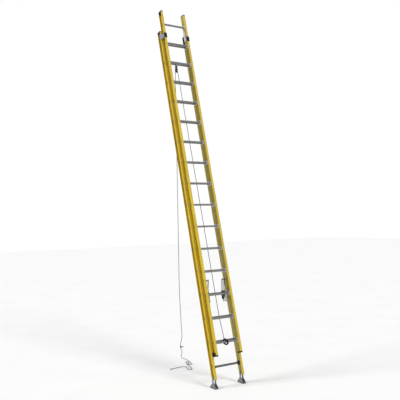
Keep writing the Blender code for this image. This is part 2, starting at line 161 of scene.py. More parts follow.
def loft_into(bm, rings, ring_shaped=False, slot=0, values=None):
    """Adds a skin over rings of equally many points. values holds a wear value for each point."""
    layer = bm.verts.layers.float.get("edge") or bm.verts.layers.float.new("edge")
    loops = []
    for ring in rings:
        loop = [bm.verts.new(point) for point in ring]
        if values is not None:
            for vert, value in zip(loop, values):
                vert[layer] = value
        loops.append(loop)
    pairs = list(zip(loops, loops[1:]))
    if ring_shaped:
        pairs.append((loops[-1], loops[0]))
    for one, other in pairs:
        for i in range(len(one)):
            j = (i + 1) % len(one)
            bm.faces.new((one[i], one[j], other[j], other[i])).material_index = slot
    if not ring_shaped:
        bm.faces.new(loops[0]).material_index = slot
        bm.faces.new(loops[-1]).material_index = slot


def prism_into(bm, outline, low, high, axis="x"):
    """A prism along X over (n, s) points, or along S over (x, n) points."""
    if axis == "x":
        rings = [[(x, n, s) for n, s in outline] for x in (low, high)]
    else:
        rings = [[(x, n, s) for x, n in outline] for s in (low, high)]
    loft_into(bm, rings)


def fillet(outline, radius, steps=3):
    """The outline with its corners rounded, and a wear value for each point of it.

    radius is one number, or one for each corner.
    """
    points, values = [], []
    count = len(outline)
    radii = radius if hasattr(radius, "__len__") else [radius] * count
    for i, corner in enumerate(outline):
        here = Vector(corner)
        before = Vector(outline[i - 1]) - here
        after = Vector(outline[(i + 1) % count]) - here
        room = 0.49 * min(before.length, after.length)
        angle = before.angle(after)
        cut_back = min(radii[i] / math.tan(angle / 2), room)
        start = here + before.normalized() * cut_back
        end = here + after.normalized() * cut_back
        for step in range(steps + 1):
            t = step / steps
            a, b = start.lerp(here, t), here.lerp(end, t)
            points.append(tuple(a.lerp(b, t)))
            values.append(1.0 - abs(2 * t - 1))
    return points, values


def rectangle(x, n):
    return [(x[0], n[0]), (x[1], n[0]), (x[1], n[1]), (x[0], n[1])]


def circle(radius, sides=24):
    turns = [2 * math.pi * i / sides for i in range(sides)]
    return [(radius * math.cos(t), radius * math.sin(t)) for t in turns]


def lathe_into(bm, profile, centre, sides=24, slot=0, ring_shaped=False):
    """A solid turned about a line along X through centre, from (x, radius) points."""
    mid_x, mid_n, mid_s = centre
    rings = []
    for x, radius in profile:
        rings.append([(mid_x + x, mid_n + n, mid_s + s) for n, s in circle(radius, sides)])
    loft_into(bm, rings, ring_shaped=ring_shaped, slot=slot)


def rivet_into(bm, x, n, s, outward, radius=0.004, height=0.002, slot=0, sides=12):
    """A domed head on a face that looks along X."""
    profile = [(0.0, radius), (0.35, 0.94 * radius), (0.75, 0.66 * radius), (1.0, 0.22 * radius)]
    steps = [(outward * height * share, r) for share, r in profile]
    lathe_into(bm, steps, (x, n, s), sides, slot)


def tube_into(bm, points, radius, sides=10):
    """A round bar along the points."""
    path = np.array([tuple(p) for p in points], float)
    loft_into(bm, tube_rings(path, radius, sides))


def tube_rings(path, radius, sides, lobes=None):
    """Rings across the path, kept from twisting. lobes gives (count, depth, turns per metre)."""
    tangents = np.gradient(path, axis=0)
    tangents /= np.linalg.norm(tangents, axis=1)[:, None]
    up = np.array([0.3, 0.2, 0.9]) if abs(tangents[0][2]) < 0.9 else np.array([1.0, 0.1, 0.0])
    along = np.concatenate([[0], np.cumsum(np.linalg.norm(np.diff(path, axis=0), axis=1))])
    turns = 2 * math.pi * np.arange(sides) / sides
    rings = []
    for point, tangent, run in zip(path, tangents, along):
        up = up - tangent * (up @ tangent)
        up /= np.linalg.norm(up)
        other = np.cross(tangent, up)
        radii = np.full(sides, radius)
        angles = turns
        if lobes:
            count, depth, twist = lobes
            angles = turns + 2 * math.pi * twist * run
            radii = radius * (1 - depth * (0.5 - 0.5 * np.cos(count * turns)) ** 0.8)
        across = np.outer(radii * np.cos(angles), up)
        rings.append([tuple(p) for p in point + across + np.outer(radii * np.sin(angles), other)])
    return rings


def resample(path, spacing):
    """Points evenly spaced along a curve through the path."""
    path = np.array([tuple(p) for p in path], float)
    along = np.concatenate([[0], np.cumsum(np.linalg.norm(np.diff(path, axis=0), axis=1))])
    count = max(2, int(round(along[-1] / spacing)))
    wanted = np.linspace(0, along[-1], count + 1)
    return np.stack([np.interp(wanted, along, path[:, i]) for i in range(3)], axis=1)


def smooth(points, steps):
    """A centripetal curve through the points, with the given number of steps on each stretch."""
    p = [np.array(q, float) for q in points]
    p = [2 * p[0] - p[1], *p, 2 * p[-1] - p[-2]]
    out = []
    for i, count in enumerate(steps, 1):
        a, b, c, d = p[i - 1 : i + 3]
        chords = [np.linalg.norm(v - u) ** 0.5 for u, v in ((a, b), (b, c), (c, d))]
        t0, t1, t2, t3 = np.cumsum([0.0] + chords)
        for t in np.linspace(t1, t2, count, endpoint=False):
            u = (t1 - t) / (t1 - t0) * a + (t - t0) / (t1 - t0) * b
            v = (t2 - t) / (t2 - t1) * b + (t - t1) / (t2 - t1) * c
            w = (t3 - t) / (t3 - t2) * c + (t - t2) / (t3 - t2) * d
            m = (t2 - t) / (t2 - t0) * u + (t - t0) / (t2 - t0) * v
            n = (t3 - t) / (t3 - t1) * v + (t - t1) / (t3 - t1) * w
            out.append((t2 - t) / (t2 - t1) * m + (t - t1) / (t2 - t1) * n)
    return out + [p[-2]]


# --- materials ----------------------------------------------------------------------------------


class Nodes:
    """A Principled material whose inputs are set by short calls."""

    def __init__(self, name, roughness=0.5, metallic=0.0, coat=0.0, sheen=0.0, gloss=0.5):
        self.material = bpy.data.materials.new(name)
        self.material.use_nodes = True
        self.tree = self.material.node_tree
        self.shader = self.tree.nodes["Principled BSDF"]
        self.shader.inputs["Roughness"].default_value = roughness
        self.shader.inputs["Metallic"].default_value = metallic
        self.shader.inputs["Coat Weight"].default_value = coat
        self.shader.inputs["Coat Roughness"].default_value = 0.2
        self.shader.inputs["Sheen Weight"].default_value = sheen
        self.shader.inputs["Specular IOR Level"].default_value = gloss
        self.where = {}

    def new(self, kind, **inputs):
        node = self.tree.nodes.new(kind)
        for name, value in inputs.items():
            self.put(node.inputs[name.replace("_", " ")], value)
        return node

    def put(self, socket, value):
        if isinstance(value, bpy.types.NodeSocket):
            self.tree.links.new(value, socket)
        else:
            socket.default_value = value

    def coordinates(self, scale, lean=True):
        """Object coordinates along X, N and S, scaled."""
        key = (scale, lean)
        if key not in self.where:
            source = self.tree.nodes.new("ShaderNodeTexCoord").outputs["Object"]
            turned = self.new("ShaderNodeMapping", Vector=source)
            turned.inputs["Rotation"].default_value = (LEAN if lean else 0.0, 0, 0)
            scaled = self.new("ShaderNodeVectorMath", Vector=turned.outputs[0])
            scaled.operation = "MULTIPLY"
            scaled.inputs[1].default_value = scale
            self.where[key] = scaled.outputs[0]
        return self.where[key]

    def noise(self, scale, detail=4.0, rough=0.5, lean=True):
        made = self.new("ShaderNodeTexNoise", Vector=self.coordinates(scale, lean))
        made.inputs["Scale"].default_value = 1.0
        made.inputs["Detail"].default_value = detail
        made.inputs["Roughness"].default_value = rough
        return made.outputs["Fac"]

    def span(self, value, low, high, to_low=0.0, to_high=1.0):
        made = self.new("ShaderNodeMapRange", Value=value)
        made.inputs["From Min"].default_value = low
        made.inputs["From Max"].default_value = high
        made.inputs["To Min"].default_value = to_low
        made.inputs["To Max"].default_value = to_high
        return made.outputs["Result"]

    def math(self, operation, a, b):
        made = self.tree.nodes.new("ShaderNodeMath")
        made.operation = operation
        made.use_clamp = True
        self.put(made.inputs[0], a)
        self.put(made.inputs[1], b)
        return made.outputs[0]

    def mix(self, share, a, b):
        made = self.tree.nodes.new("ShaderNodeMix")
        made.data_type = "RGBA"
        self.put(made.inputs["Factor"], share)
        self.put(made.inputs[6], (*a, 1.0) if isinstance(a, tuple) else a)
        self.put(made.inputs[7], (*b, 1.0) if isinstance(b, tuple) else b)
        return made.outputs[2]

    def edge(self):
        made = self.tree.nodes.new("ShaderNodeAttribute")
        made.attribute_name = "edge"
        return made.outputs["Fac"]

    def bump(self, height, distance, strength=1.0, normal=None):
        made = self.new("ShaderNodeBump", Height=height)
        made.inputs["Distance"].default_value = distance
        made.inputs["Strength"].default_value = strength
        if normal is not None:
            self.put(made.inputs["Normal"], normal)
        return made.outputs["Normal"]

    def done(self, colour=None, roughness=None, normal=None):
        if colour is not None:
            self.put(self.shader.inputs["Base Color"], colour)
        if roughness is not None:
            self.put(self.shader.inputs["Roughness"], roughness)
        if normal is not None:
            self.put(self.shader.inputs["Normal"], normal)
        return self.material


def fibreglass():
    """Pigmented resin over long glass fibres: streaked up the rail, mottled, scuffed on its edges.

    The inner face of each web carries painted shade, duller and greener, deepest on the base's
    web, which lies in the fly's shadow.
    """
    m = Nodes("fibreglass", coat=0.1, gloss=0.35)
    streaks = m.noise((260.0, 260.0, 5.0), 3.0)
    mottle = m.noise((9.0, 9.0, 1.6), 5.0, 0.6)
    grime = m.noise((26.0, 26.0, 7.0), 6.0, 0.65)
    colour = m.mix(m.span(mottle, 0.35, 0.65), (0.49, 0.345, 0.014), (0.61, 0.445, 0.024))
    colour = m.mix(m.span(streaks, 0.3, 0.7, 0.0, 0.3), colour, (0.33, 0.22, 0.014))
    # Painted shade: the inner face of each web turns duller and greener, where the other rail and
    # the fly keep the light off.
    inner_web_shade = m.new("ShaderNodeAttribute")
    inner_web_shade.attribute_name = "inner"
    colour = m.mix(m.math("MULTIPLY", inner_web_shade.outputs["Fac"], 0.7), colour, (0.23, 0.205, 0.045))
    colour = m.mix(m.span(grime, 0.56, 0.74, 0.0, 0.45), colour, (0.25, 0.17, 0.04))
    worn = m.math("MULTIPLY", m.edge(), m.span(grime, 0.42, 0.6))
    colour = m.mix(m.math("MULTIPLY", worn, 0.7), colour, (0.80, 0.62, 0.24))
    rough = m.span(m.noise((60.0, 60.0, 14.0), 4.0), 0.3, 0.7, 0.30, 0.52)
    normal = m.bump(streaks, 0.0003, 0.2)
    return m.done(colour, rough, m.bump(mottle, 0.004, 0.2, normal))


def rung_aluminium(name="rung_aluminium", shade=1.0):
    """Extruded aluminium: drawn along X, grey with oxide, darker in its flutes. Its greys are
    scaled by shade, for a copy with painted shade.
    """
    m = Nodes(name, metallic=0.35)
    dark, mid, light, bright = ((shade * grey,) * 3 for grey in (0.10, 0.15, 0.22, 0.28))
    drawn = m.noise((6.0, 420.0, 420.0), 3.0, lean=False)
    cloud = m.noise((14.0, 30.0, 30.0), 5.0, 0.6, lean=False)
    colour = m.mix(m.span(drawn, 0.3, 0.7), mid, light)
    colour = m.mix(m.span(cloud, 0.45, 0.7, 0.0, 0.6), colour, dark)
    colour = m.mix(m.math("MULTIPLY", m.edge(), 0.4), colour, bright)
    rough = m.span(cloud, 0.3, 0.7, 0.45, 0.62)
    return m.done(colour, rough, m.bump(drawn, 0.0003, 0.4))


# The default greys are raised as painted light, so that plates sitting in shade look lit; the
# other finishes pass their own greys.
def plate_aluminium(name="plate_aluminium", dark=(0.58, 0.56, 0.62), light=(0.74, 0.72, 0.79)):
    """Rolled sheet: a fine brushed grain with cloudy oxide and faint handling marks."""
    m = Nodes(name, metallic=0.35)
    grain = m.noise((500.0, 500.0, 24.0), 3.0)
    cloud = m.noise((45.0, 45.0, 45.0), 5.0, 0.6)
    marks = m.span(m.noise((150.0, 30.0, 90.0), 2.0), 0.66, 0.72)
    colour = m.mix(m.span(cloud, 0.3, 0.7), dark, light)
    colour = m.mix(m.math("MULTIPLY", marks, 0.4), colour, light)
    rough = m.span(cloud, 0.3, 0.7, 0.36, 0.55)
    return m.done(colour, rough, m.bump(grain, 0.0002, 0.35))


def casting():
    """Dull die-cast metal with a pebbled skin, rubbed bright where it works."""
    m = Nodes("lock_casting", metallic=0.4, gloss=0.3)
    skin = m.noise((900.0, 900.0, 900.0), 2.0)
    cloud = m.noise((60.0, 60.0, 60.0), 5.0, 0.6)
    rubbed = m.span(m.noise((30.0, 30.0, 12.0), 3.0), 0.58, 0.7)
    colour = m.mix(m.span(cloud, 0.3, 0.7), (0.050, 0.050, 0.052), (0.095, 0.095, 0.10))
    colour = m.mix(m.math("MULTIPLY", rubbed, 0.5), colour, (0.22, 0.22, 0.225))
    rough = m.span(cloud, 0.3, 0.7, 0.42, 0.62)
    return m.done(colour, rough, m.bump(skin, 0.0003, 0.45))


def zinc(name="zinc_steel", tint=(0.40, 0.41, 0.42)):
    """Zinc-plated steel: satin, with faint crystal patches and dulled spots."""
    m = Nodes(name, metallic=1.0)
    cells = m.new("ShaderNodeTexVoronoi", Vector=m.coordinates((220.0, 220.0, 220.0)))
    cells.inputs["Scale"].default_value = 1.0
    dull = m.noise((90.0, 90.0, 90.0), 5.0, 0.6)
    darker = tuple(0.55 * c for c in tint)
    colour = m.mix(m.span(dull, 0.35, 0.7), tint, darker)
    colour = m.mix(m.span(cells.outputs["Distance"], 0.0, 1.0, 0.0, 0.25), colour, darker)
    rough = m.span(dull, 0.3, 0.7, 0.28, 0.5)
    return m.done(colour, rough, m.bump(dull, 0.0002, 0.3))


def black_plastic():
    """Moulded nylon: a fine spark texture, greyed a little where it rubs."""
    m = Nodes("black_plastic", gloss=0.12)
    skin = m.noise((1300.0, 1300.0, 1300.0), 2.0)
    cloud = m.noise((50.0, 50.0, 50.0), 5.0, 0.6)
    colour = m.mix(m.span(cloud, 0.4, 0.7), (0.008, 0.008, 0.008), (0.022, 0.021, 0.020))
    rough = m.span(cloud, 0.3, 0.7, 0.62, 0.8)
    return m.done(colour, rough, m.bump(skin, 0.0002, 0.2))


def rubber():
    m = Nodes("tread_rubber", sheen=0.1)
    skin = m.noise((700.0, 700.0, 700.0), 3.0)
    dust = m.noise((70.0, 70.0, 30.0), 6.0, 0.65)
    colour = m.mix(m.span(dust, 0.4, 0.75), (0.045, 0.045, 0.047), (0.12, 0.115, 0.11))
    rough = m.span(dust, 0.3, 0.7, 0.7, 0.9)
    return m.done(colour, rough, m.bump(skin, 0.0004, 0.5))


def rope_fibre(name="rope_fibre", light=(0.22, 0.22, 0.215), dark=(0.11, 0.11, 0.11)):
    """Laid synthetic rope: fine yarns across each strand, darker in the lay, and grimed here and
    there.
    """
    m = Nodes(name, sheen=0.3)
    yarns = m.noise((1500.0, 1500.0, 500.0), 2.0, lean=False)
    grime = m.noise((40.0, 40.0, 9.0), 4.0, 0.6, lean=False)
    colour = m.mix(m.span(yarns, 0.35, 0.65), dark, light)
    colour = m.mix(m.span(grime, 0.45, 0.75, 0.0, 0.5), colour, dark)
    groove = m.math("MULTIPLY", m.edge(), 0.65)
    colour = m.mix(groove, colour, tuple(0.4 * c for c in dark))
    rough = m.span(grime, 0.3, 0.7, 0.72, 0.88)
    return m.done(colour, rough, m.bump(yarns, 0.0006, 0.5))


def floor_paint():
    m = Nodes("floor_paint", roughness=0.8)
    cloud = m.noise((1.4, 1.4, 1.4), 4.0, lean=False)
    colour = m.mix(m.span(cloud, 0.3, 0.7), (0.89, 0.89, 0.89), (0.92, 0.92, 0.92))
    return m.done(colour)


FIBREGLASS = fibreglass()
RUNG = rung_aluminium()
# Painted shade: a copy of the rung finish darkened to 0.58, to offset the floor's bounce light on
# the bottom rung.
SHADED_RUNG = rung_aluminium("bottom_rung_painted_shade", 0.58)
# Painted light: rung and wear plates get greys raised to look lit where they sit in shade.
PAINTED_LIGHT_PLATE = plate_aluminium()
BRACKET = plate_aluminium("bracket_aluminium", (0.20, 0.18, 0.215), (0.29, 0.265, 0.305))
SHOE = plate_aluminium("shoe_aluminium", (0.15, 0.15, 0.16), (0.22, 0.22, 0.235))
DARK_PLATE = plate_aluminium("dark_plate", (0.05, 0.05, 0.052), (0.09, 0.09, 0.095))
CASTING = casting()
ZINC = zinc()
DARK_STEEL = zinc("dark_steel", (0.13, 0.13, 0.135))
BLACK = black_plastic()
RUBBER = rubber()
ROPE_FIBRE = rope_fibre()
DARK_ROPE = rope_fibre("dark_rope", (0.085, 0.085, 0.085), (0.03, 0.03, 0.03))


# --- objects ------------------------------------------------------------------------------------


def piece(
    name, bm, body, finishes, replaces=(), leaning=True, sharp=35.0, bevel=0.0
):
    """One object from the bmesh, drawn in the leaning frame unless said otherwise."""
    bmesh.ops.recalc_face_normals(bm, faces=bm.faces)
    if leaning:
        bmesh.ops.transform(bm, matrix=UPRIGHT, verts=bm.verts)
    mesh = bpy.data.meshes.new(name)
    bm.to_mesh(mesh)
    bm.free()
    for finish in finishes:
        mesh.materials.append(finish)
    mesh.shade_smooth()
    mesh.set_sharp_from_angle(angle=math.radians(sharp))
    made = bpy.data.objects.new(name, mesh)
    bpy.context.scene.collection.objects.link(made)
    if bevel:
        soften(made, bevel)
    if body:
        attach(made, body)
    for node in replaces:
        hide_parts(node)
    return made


def soften(made, width):
    """Rounds an object's sharp edges."""
    modifier = made.modifiers.new("round_edges", "BEVEL")
    modifier.width = width
    modifier.segments = 2
    modifier.limit_method = "ANGLE"
    modifier.angle_limit = math.radians(34.0)
    modifier.harden_normals = True


def dress(node, finish, width=0.0):
    """Gives a CAD node its finish, and rounds its edges."""
    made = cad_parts[node]
    made.data.materials.clear()
    made.data.materials.append(finish)
    made.data.shade_smooth()
    made.data.set_sharp_from_angle(angle=math.radians(35))
    if width:
        soften(made, width)


# --- rope ---------------------------------------------------------------------------------------

# Where the haul run bends and where it is tied, as (n, s).
HAUL_BEND = (-0.0525, 0.86)
TIE_X = -0.014
TIE = (-0.064, 0.578)

# The free run's fall, and its loops on the floor, in the row frame.
FALL = [
    (-0.031, 1.149, 2.950),
    (-0.038, 1.149, 1.700),
    (-0.040, 1.149, 1.150),
    (-0.026, 1.149, 0.680),
    (-0.017, 1.149, 0.440),
    (-0.038, 1.149, 0.352),
    (-0.041, 1.149, 0.285),
    (-0.020, 1.149, 0.228),
    (-0.035, 1.151, 0.175),
    (-0.005, 1.165, 0.136),
    (0.054, 1.195, 0.108),
    (0.125, 1.232, 0.070),
    (0.180, 1.262, 0.032),
    (0.205, 1.272, 0.010),
]

LYING = 0.005
FLOOR_LOOPS = [
    (0.198, 1.242),
    (0.172, 1.224),
    (0.150, 1.246),
    (0.172, 1.300),
    (0.206, 1.345),
    (0.226, 1.386),
    (0.208, 1.414),
    (0.184, 1.396),
    (0.160, 1.325),
    (0.118, 1.236),
    (0.094, 1.130),
    (0.062, 1.030),
    (0.033, 0.988),
    (0.006, 1.002),
    (0.018, 1.075),
    (0.040, 1.140),
    (0.022, 1.185),
    (-0.070, 1.194),
    (-0.205, 1.168),
]
LANDING = [(x, y, LYING) for x, y in FLOOR_LOOPS]


def rope_piece(name, path, first=0, last=None):
    """Three strands laid round each other along the path, or along part of it."""
    bm = bmesh.new()
    sides = 18
    turns = [2 * math.pi * i / sides for i in range(sides)]
    values = [(0.5 - 0.5 * math.cos(3 * t)) ** 3 for t in turns]
    rings = tube_rings(path, ROPE / 2, sides, lobes=ROPE_STRANDS)[first:last]
    loft_into(bm, rings, values=values)
    return piece(name, bm, None, [ROPE_FIBRE], leaning=False, sharp=80)


def make_rope():
    """Both runs of the rope, with the knot and the tape on one and the tie that ends the other."""
    low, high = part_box("pulley_sheave")
    centre = (low + high) / 2
    x, y, z = PULLEY_X, centre.y, centre.z
    radius = SHEAVE_PITCH_RADIUS

    def on_sheave(angle):
        return Vector((x, y + radius * math.cos(angle), z + radius * math.sin(angle)))

    top = on_sheave(math.pi - LEAN)
    bend, tie = place(PULLEY_X, *HAUL_BEND), place(TIE_X, *TIE)
    middle = place(PULLEY_X + 0.004, *HAUL_BEND).lerp(tie, 0.5)
    haul = [top.lerp(bend, i / 14) for i in range(14)] + smooth([bend, middle, tie], [4, 4])
    haul = resample(haul, ROPE_STEP)
    # Its first few centimetres are a piece of their own that stays where it is drawn, and the rest
    # of it goes with the base.
    lead = 17
    leader = rope_piece("haul_rope_lead", haul, last=lead + 1)
    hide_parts("rope_haul_run")
    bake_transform(leader)
    taut = rope_piece("haul_rope", haul, first=lead)
    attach(taut, BASE)
    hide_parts("rope_haul_run")
    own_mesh(taut)

    # The free run starts a hair past the haul run's end.
    apart = 0.0009
    start = math.pi - LEAN - apart / radius
    over = [on_sheave(start * (1 - i / 60)) for i in range(61)]
    back = [(x, y + radius, z - 0.02), (x - 0.002, y + radius, z - 0.5)]
    route = [*back, *FALL, *LANDING]
    stretches = [4, 8, 8, 6, 6, 6]
    stretches += [8] * (len(route) - 1 - len(stretches))
    free = resample(over + smooth(route, stretches), ROPE_STEP)
    loose = rope_piece("free_rope", free)
    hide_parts("rope_free_run")
    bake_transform(loose)

    # The cut end, bound with tape, and the knot that the rope keeps low on its fall.
    bm = bmesh.new()
    ahead = Vector(free[-1]) - Vector(free[-12])
    tape = [Vector(free[-7]), Vector(free[-1]) + ahead.normalized() * 0.002]
    tube_into(bm, [tape[0].lerp(tape[1], i / 3) for i in range(4)], ROPE / 2 + 0.0004, 16)
    whipping = piece("rope_end_tape", bm, BASE, [BLACK], leaning=False)

    bm = bmesh.new()
    foot = Vector((-0.040, 1.149, 0.300))
    turns = [
        (0.000, -0.008, -0.010),
        (0.009, -0.001, -0.004),
        (0.001, 0.009, 0.003),
        (-0.009, 0.000, 0.007),
        (0.000, -0.010, 0.010),
        (0.014, -0.006, 0.010),
        (0.029, -0.001, 0.004),
        (0.040, 0.002, -0.010),
    ]
    knot = smooth([foot + Vector(t) for t in turns], [5] * 7)
    tube_into(bm, knot, 0.0052, 12)
    knot = piece("rope_knot", bm, BASE, [DARK_ROPE], leaning=False, sharp=80)

    # The haul run ends in a sleeved loop round the fly's bottom rung.
    bm = bmesh.new()
    rung = place(0, -SECTION_STEP, fly_rung_height(1))
    around = [
        (TIE_X - 0.001, 0.0035, 0.036),
        (-0.012, -0.008, 0.0290),
        (-0.006, -0.020, 0.0245),
        (0.001, -0.0315, 0.0130),
        (0.005, -0.0350, -0.003),
        (0.004, -0.0290, -0.0210),
        (-0.001, -0.013, -0.0315),
        (-0.009, 0.006, -0.0290),
        (-0.015, 0.0245, -0.018),
        (-0.018, 0.0305, 0.001),
        (-0.019, 0.0280, 0.016),
        (-0.017, 0.0175, 0.029),
        (TIE_X - 0.003, 0.0090, 0.036),
    ]
    loop = smooth([(x, rung.y + dy, rung.z + dz) for x, dy, dz in around], [5] * 12)
    tube_into(bm, loop, 0.0105, 14)
    sleeve = piece("tie_sleeve", bm, FLY, [BLACK], leaning=False, sharp=80)

    bm = bmesh.new()
    collar = [place(TIE_X, TIE[0] - 0.001, TIE[1] + h) for h in (-0.010, -0.008, 0.010, 0.020)]
    for i, width in enumerate((1.0, 1.25, 0.9)):
        end = collar[i].lerp(collar[i + 1], 0.98)
        tube_into(bm, [collar[i], end], 0.0058 * width, 16)
    ferrule = piece("tie_ferrule", bm, FLY, [DARK_STEEL], leaning=False)


# --- rails --------------------------------------------------------------------------------------


def mirror_x(points, sign):
    return [(sign * x, n) for x, n in points]


def make_rail(name, body, clear, middle, foot, side, sign):
    """A pultruded channel with rounded corners and slightly thicker lips."""
    near, far = clear / 2, clear / 2 + RAIL_FLANGE
    web = near + RAIL_WALL
    front, back = middle - RAIL_DEPTH / 2, middle + RAIL_DEPTH / 2
    wall, lip = RAIL_WALL, 0.0012
    outline = [
        (near, front),
        (far, front),
        (far, front + wall + lip),
        (far - 0.006, front + wall + lip),
        (far - 0.011, front + wall),
        (web, front + wall),
        (web, back - wall),
        (far - 0.011, back - wall),
        (far - 0.006, back - wall - lip),
        (far, back - wall - lip),
        (far, back),
        (near, back),
    ]
    half = [0.0035, 0.0016, 0.0016, 0.003, 0.004, 0.0035]
    radii = half + half[::-1]
    points, values = fillet(outline, radii, 4)
    # Only the four outer corners rub on anything.
    rubbed = (0, 1, 10, 11)
    values = [v if i // 5 in rubbed else 0.0 for i, v in enumerate(values)]
    bm = bmesh.new()
    count = 33
    heights = [foot + RAIL_LENGTH * i / (count - 1) for i in range(count)]
    rings = [[(sign * x, n, s) for x, n in points] for s in heights]
    loft_into(bm, rings, values=values)
    # Marks the web's inner face for painted shade, stronger on the base, whose web lies in the
    # fly's shadow.
    inner = bm.verts.layers.float.new("inner")
    painted_shade_depth = 1.2 if name == "base" else 0.75
    for vert in bm.verts:
        vert[inner] = painted_shade_depth if abs(vert.co.x) < near + 0.0005 else 0.0
    node = f"{name}_rail_{side}"
    piece(f"{name}_channel_{side}", bm, body, [FIBREGLASS], [node], sharp=50)


# --- rungs --------------------------------------------------------------------------------------


def rung_profile():
    """(point, outward normal, flute) round a level D: a flat tread above a half ellipse."""
    half, shoulder = RUNG_DEPTH / 2, RUNG_TOP - 0.009
    out = []
    count = 15
    for i in range(count + 1):
        y = half - 0.0015 - (2 * half - 0.003) * i / count
        out.append((y, RUNG_TOP, 0.0, 1.0, 1.0 if i % 2 else 0.0))
    for y, z, ny, nz in ((-half, 0.0095, -0.7, 0.7), (-half, 0.0060, -1.0, 0.0)):
        out.append((y, z, ny, nz, 0.0))
    steps = 24
    for i in range(steps + 1):
        t = math.pi + math.pi * i / steps
        y, z = half * math.cos(t), shoulder + RUNG_BELLY * math.sin(t)
        ny, nz = math.cos(t) / half, math.sin(t) / RUNG_BELLY
        size = math.hypot(ny, nz)
        fluted = 1.0 if i % 2 and (i < 8 or i > steps - 8) else 0.0
        out.append((y, z, ny / size, nz / size, 0.6 * fluted))
    for y, z, ny, nz in ((half, 0.0060, 1.0, 0.0), (half, 0.0095, 0.7, 0.7)):
        out.append((y, z, ny, nz, 0.0))
    return out


PROFILE = rung_profile()
FLUTE_DEPTH = 0.0009


def rung_ring(x, grow, fluted=True):
    """One ring of the rung at x, grown along its normals."""
    ring = []
    for y, z, ny, nz, flute in PROFILE:
        depth = grow - (FLUTE_DEPTH * flute if fluted else 0.0)
        ring.append((x, y + ny * depth, z + nz * depth))
    return ring


def make_collars(body, web, middle, height):
    """Moulded boots round both ends of the bottom rung."""
    for side, sign in SIDES:
        bm = bmesh.new()
        inner = web - GAP - PLATE_THICK - 0.0026
        rings = []
        for x, grow in ((0.0, 0.0080), (0.010, 0.0076), (0.016, 0.0056), (0.0180, 0.0022)):
            rings.append(rung_ring(sign * (inner - x), grow, False))
        for x in (0.0180, 0.0):
            rings.append(rung_ring(sign * (inner - x), 0.0003, False))
        loft_into(bm, rings, ring_shaped=True)
        bmesh.ops.translate(bm, vec=place(0, middle, height), verts=bm.verts)
        piece(f"rung_boot_{side}", bm, body, [BLACK], leaning=False, sharp=50)


def make_rung(name, body, clear, middle, height, number):
    """A fluted D tube, beaded against both faces of each web, with a riveted plate inside."""
    web = clear / 2
    outer = web + RAIL_WALL
    plate = web - GAP - PLATE_THICK
    steps = [
        (plate - 0.0075, 0.0, True),
        (plate - 0.0060, 0.0016, False),
        (plate - 0.0035, 0.0024, False),
        (plate - 0.0012, 0.0018, False),
        (plate - 0.0003, 0.0, False),
        (outer + 0.0004, 0.0, False),
        (outer + 0.0008, 0.0022, False),
        (outer + 0.0022, 0.0030, False),
        (outer + 0.0036, 0.0026, False),
        (outer + 0.0048, 0.0012, False),
        (outer + 0.0050, -0.0006, False),
        (outer + 0.0030, -0.0022, False),
    ]
    rings = [rung_ring(-x, grow, flutes) for x, grow, flutes in reversed(steps)]
    rings += [rung_ring(x, grow, flutes) for x, grow, flutes in steps]
    bore = [rung_ring(x, -0.0025, False) for x in (outer, -outer)]
    # Zero in the flutes' bottoms, which the finish leaves darker.
    values = [0.0 if flute else 1.0 for *_, flute in PROFILE]
    bm = bmesh.new()
    loft_into(bm, rings + bore, ring_shaped=True, values=values)
    where = place(0, middle, height)
    bmesh.ops.translate(bm, vec=where, verts=bm.verts)

    made = bmesh.new()
    half_n, half_s, corner = PLATE_DEPTH / 2, PLATE_HEIGHT / 2, 0.008
    outline = [
        (half_n, half_s),
        (half_n, -half_s + corner),
        (half_n - corner, -half_s),
        (-half_n + corner, -half_s),
        (-half_n, -half_s + corner),
        (-half_n, half_s),
    ]
    outline, values = fillet(outline, 0.003, 2)
    rivets = [(0.015, 0.0225), (-0.015, 0.0225), (0.0105, -0.0225), (-0.0105, -0.0225)]
    for sign in (-1, 1):
        rings = []
        for x, shrink in ((0.0, 0.0), (PLATE_THICK - 0.0006, 0.0), (PLATE_THICK, 0.0006)):
            keep = 1 - shrink / half_n
            inside = sign * (web - GAP - x)
            rings.append([(inside, middle + n * keep, height + s * keep) for n, s in outline])
        loft_into(made, rings, values=values)
        for n, s in rivets:
            rivet_into(made, sign * plate, middle + n, height + s, -sign, 0.0042, 0.0022, slot=1)
            rivet_into(made, sign * outer, middle + n, height + s, sign, 0.0048, 0.0020, slot=1)
    dark = name == "base" and number == 1
    if dark:
        make_collars(body, web, middle, height)
    finishes = [DARK_PLATE if dark else PAINTED_LIGHT_PLATE, DARK_STEEL if dark else ZINC]
    piece(f"{name}_rung_plates_{number:02d}", made, body, finishes, sharp=50)
    node = f"{name}_rung_{number:02d}"
    label = f"{name}_fluted_rung_{number:02d}"
    # The bottom rung takes the copy with painted shade.
    finish = SHADED_RUNG if dark else RUNG
    piece(label, bm, body, [finish], [node], leaning=False, sharp=28)


# --- mouldings and brackets ---------------------------------------------------------------------


